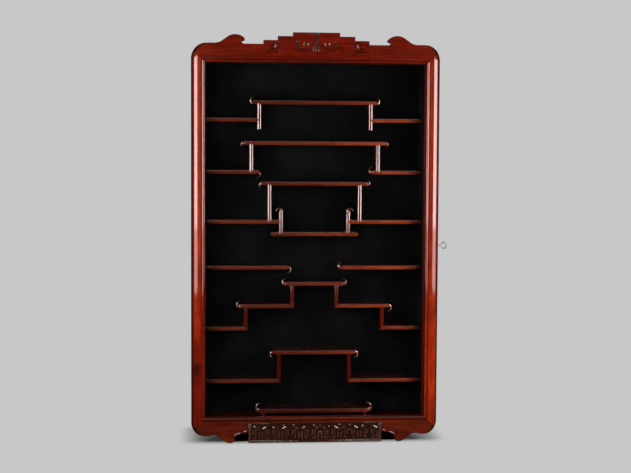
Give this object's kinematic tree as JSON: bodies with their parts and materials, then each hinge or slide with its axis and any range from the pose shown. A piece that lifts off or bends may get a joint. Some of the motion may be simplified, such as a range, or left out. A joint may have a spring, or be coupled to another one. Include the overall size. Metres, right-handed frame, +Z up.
{
  "type": "display cabinet",
  "caption": "Shallow wooden display cabinet with a glazed door in a carved frame, stepped scroll-ended shelves on a dark lining, and a side lock with its key.",
  "frame": {"origin": "on the surface that the cabinet stands on, at the middle of the plinth", "axes": "+Z up, +Y from the glazed front to the back, +X to the right seen from the front"},
  "size_m": [0.5741, 0.1125, 0.9095],
  "materials": {
    "rosewood": "polished",
    "dark_wood": "polished",
    "velvet": "matte",
    "clear_glass": "clear",
    "brass": "aged",
    "steel": "satin"
  },
  "bodies": {
    "case": {"bottom_centre_post_left": "rosewood", "bottom_centre_post_right": "rosewood", "bottom_centre_shelf": "rosewood", "case_back_panel": "rosewood", "case_bottom_board": "rosewood", "case_screws": "brass", "case_side_left": "rosewood", "case_side_right": "rosewood", "case_top_board": "rosewood", "fifth_side_shelf_left": "rosewood", "fifth_side_shelf_right": "rosewood", "first_side_shelf_left": "rosewood", "first_side_shelf_right": "rosewood", "floor_tray": "rosewood", "floor_tray_feet": "rosewood", "fourth_side_shelf_left": "rosewood", "fourth_side_shelf_right": "rosewood", "hanger_plates": "brass", "hanging_centre_shelf": "rosewood", "hinge_leaves_on_case": "brass", "hinge_pins": "brass", "hooked_post_left": "rosewood", "hooked_post_right": "rosewood", "key_escutcheon": "brass", "lock_case": "brass", "lower_centre_post_left": "rosewood", "lower_centre_post_right": "rosewood", "lower_centre_shelf": "rosewood", "middle_centre_post_left": "rosewood", "middle_centre_post_right": "rosewood", "middle_centre_shelf": "rosewood", "plinth_frame": "rosewood", "second_side_shelf_left": "rosewood", "second_side_shelf_right": "rosewood", "sixth_side_shelf_left": "rosewood", "sixth_side_shelf_right": "rosewood", "step_post_left": "rosewood", "step_post_right": "rosewood", "step_shelf_left": "rosewood", "step_shelf_right": "rosewood", "third_side_shelf_left": "rosewood", "third_side_shelf_right": "rosewood", "top_bridge_posts": "rosewood", "top_bridge_shelf": "rosewood", "upper_centre_post_left": "rosewood", "upper_centre_post_right": "rosewood", "upper_centre_shelf": "rosewood", "velvet_lining": "velvet"},
    "door": {"door_stile_left": "rosewood", "door_stile_right": "rosewood", "door_top_rail": "rosewood", "door_bottom_rail": "rosewood", "carved_plaque": "dark_wood", "glass_pane": "clear_glass", "glazing_beads": "rosewood", "hinge_leaves_on_door": "brass", "door_screws": "brass", "link_plate": "brass"},
    "lock_bolt": {"lock_bolt": "brass"},
    "key": {"key": "steel"}
  },
  "joints": [
    {"name": "door_hinge", "type": "hinge", "parent": "case", "child": "door", "pos_m": [-0.2623, -0.0372, 0.45], "axis": [0, 0, -1], "range_deg": [0, 105]},
    {"name": "key_turn", "type": "hinge", "parent": "case", "child": "key", "pos_m": [0.26, -0.0245, 0.43948], "axis": [-1, 0, 0], "range_deg": [0, 190]},
    {"name": "bolt_slide", "type": "slide", "parent": "case", "child": "lock_bolt", "axis": [0, 0, 1], "range_m": [0, 0.008]}
  ],
  "couplings": [
    {"joint": "key_turn", "follows": "bolt_slide", "rad_per_m": 392.7}
  ]
}
